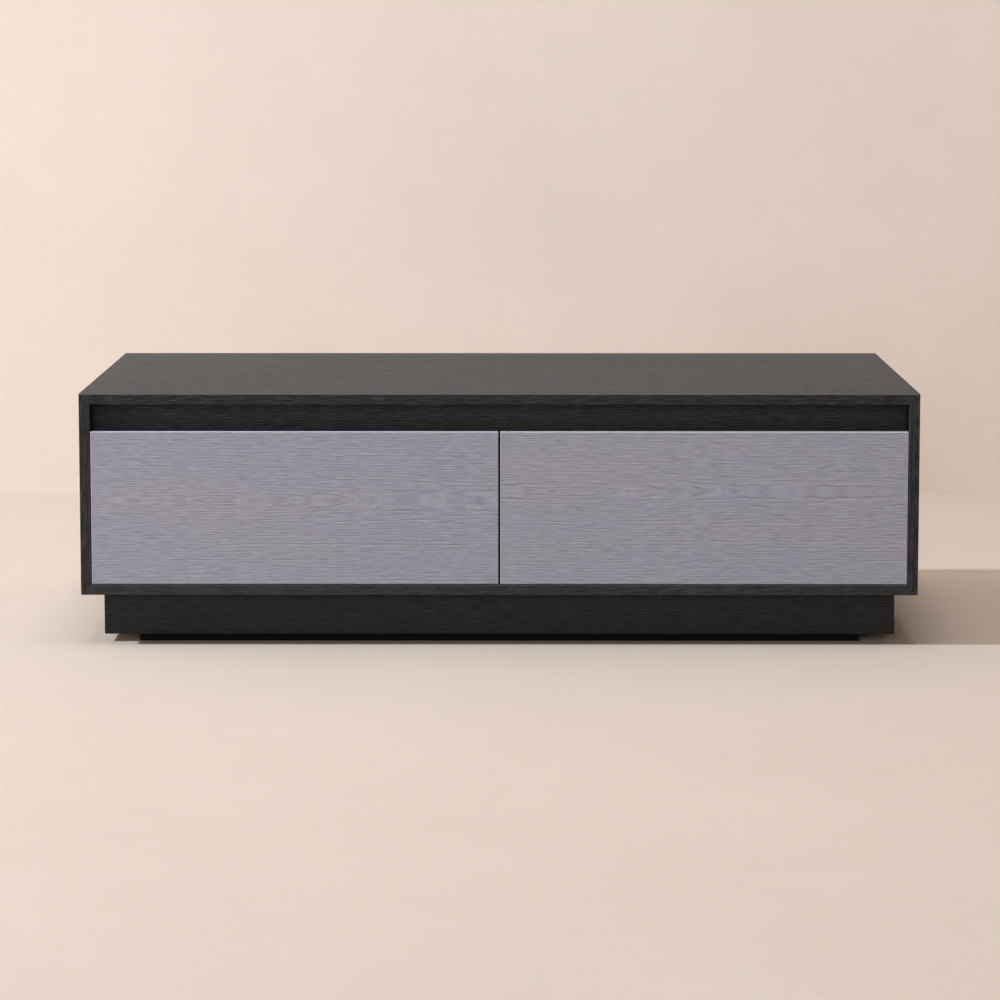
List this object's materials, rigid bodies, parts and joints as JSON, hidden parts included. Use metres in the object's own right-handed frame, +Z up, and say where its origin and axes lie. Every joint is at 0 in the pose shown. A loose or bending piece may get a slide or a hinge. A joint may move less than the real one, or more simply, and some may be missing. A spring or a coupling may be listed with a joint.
{
  "type": "coffee table with drawers",
  "caption": "Low rectangular coffee table: dark mitred carcass on a set-back plinth, with side-by-side drawers on ball slides, opened by a finger gap.",
  "frame": {"origin": "on the floor, under the middle of the table", "axes": "+X to the right along the length, +Y to the back, +Z up; the drawer fronts face -Y"},
  "size_m": [1.2, 0.6, 0.363],
  "materials": {
    "black_oak": "oak veneer stained black, open pores, matt lacquer",
    "grey_oak": "oak veneer, grey stain, brushed open grain, matt",
    "birch": "clear lacquered birch",
    "beech": "plain beech",
    "pine": "sawn and planed pine",
    "zinc_steel": "zinc plated",
    "cage_steel": "zinc plated sheet",
    "ball_steel": "polished",
    "stop_rubber": "matt black",
    "runner_plastic": "extruded black, matt"
  },
  "bodies": {
    "carcass": {"top_panel": "black_oak", "bottom_panel": "black_oak", "left_side_panel": "black_oak", "right_side_panel": "black_oak", "back_panel": "black_oak", "centre_partition": "black_oak", "recess_rail": "black_oak", "mitre_splines": "beech", "carcass_tenons": "beech", "plinth_front_rail": "black_oak", "plinth_back_rail": "black_oak", "plinth_left_rail": "black_oak", "plinth_right_rail": "black_oak", "plinth_cross_rail": "pine", "plinth_blocks": "pine", "plinth_runners": "runner_plastic", "slide_stops": "stop_rubber", "left_drawer_left_cabinet_rail": "zinc_steel", "left_drawer_right_cabinet_rail": "zinc_steel", "right_drawer_left_cabinet_rail": "zinc_steel", "right_drawer_right_cabinet_rail": "zinc_steel"},
    "left_drawer": {"left_drawer_front": "grey_oak", "left_drawer_box_front": "birch", "left_drawer_box_back": "birch", "left_drawer_box_left_side": "birch", "left_drawer_box_right_side": "birch", "left_drawer_box_floor": "birch", "left_drawer_left_drawer_rail": "zinc_steel", "left_drawer_right_drawer_rail": "zinc_steel"},
    "left_middle_rails": {"left_drawer_left_middle_rail": "zinc_steel", "left_drawer_right_middle_rail": "zinc_steel"},
    "left_outer_cages": {"left_drawer_outer_cages": "cage_steel", "left_drawer_outer_balls": "ball_steel"},
    "left_inner_cages": {"left_drawer_inner_cages": "cage_steel", "left_drawer_inner_balls": "ball_steel"},
    "right_drawer": {"right_drawer_front": "grey_oak", "right_drawer_box_front": "birch", "right_drawer_box_back": "birch", "right_drawer_box_left_side": "birch", "right_drawer_box_right_side": "birch", "right_drawer_box_floor": "birch", "right_drawer_left_drawer_rail": "zinc_steel", "right_drawer_right_drawer_rail": "zinc_steel"},
    "right_middle_rails": {"right_drawer_left_middle_rail": "zinc_steel", "right_drawer_right_middle_rail": "zinc_steel"},
    "right_outer_cages": {"right_drawer_outer_cages": "cage_steel", "right_drawer_outer_balls": "ball_steel"},
    "right_inner_cages": {"right_drawer_inner_cages": "cage_steel", "right_drawer_inner_balls": "ball_steel"}
  },
  "joints": [
    {"name": "left_drawer_slide", "type": "slide", "parent": "carcass", "child": "left_drawer", "axis": [0, -1, 0], "range_m": [0, 0.48]},
    {"name": "left_middle_rails_slide", "type": "slide", "parent": "carcass", "child": "left_middle_rails", "axis": [0, -1, 0], "range_m": [0, 0.24]},
    {"name": "left_outer_cages_slide", "type": "slide", "parent": "carcass", "child": "left_outer_cages", "axis": [0, -1, 0], "range_m": [0, 0.12]},
    {"name": "left_inner_cages_slide", "type": "slide", "parent": "carcass", "child": "left_inner_cages", "axis": [0, -1, 0], "range_m": [0, 0.36]},
    {"name": "right_drawer_slide", "type": "slide", "parent": "carcass", "child": "right_drawer", "axis": [0, -1, 0], "range_m": [0, 0.48]},
    {"name": "right_middle_rails_slide", "type": "slide", "parent": "carcass", "child": "right_middle_rails", "axis": [0, -1, 0], "range_m": [0, 0.24]},
    {"name": "right_outer_cages_slide", "type": "slide", "parent": "carcass", "child": "right_outer_cages", "axis": [0, -1, 0], "range_m": [0, 0.12]},
    {"name": "right_inner_cages_slide", "type": "slide", "parent": "carcass", "child": "right_inner_cages", "axis": [0, -1, 0], "range_m": [0, 0.36]}
  ],
  "couplings": [
    {"joint": "left_middle_rails_slide", "follows": "left_drawer_slide", "ratio": 0.5},
    {"joint": "left_outer_cages_slide", "follows": "left_drawer_slide", "ratio": 0.25},
    {"joint": "left_inner_cages_slide", "follows": "left_drawer_slide", "ratio": 0.75},
    {"joint": "right_middle_rails_slide", "follows": "right_drawer_slide", "ratio": 0.5},
    {"joint": "right_outer_cages_slide", "follows": "right_drawer_slide", "ratio": 0.25},
    {"joint": "right_inner_cages_slide", "follows": "right_drawer_slide", "ratio": 0.75}
  ]
}
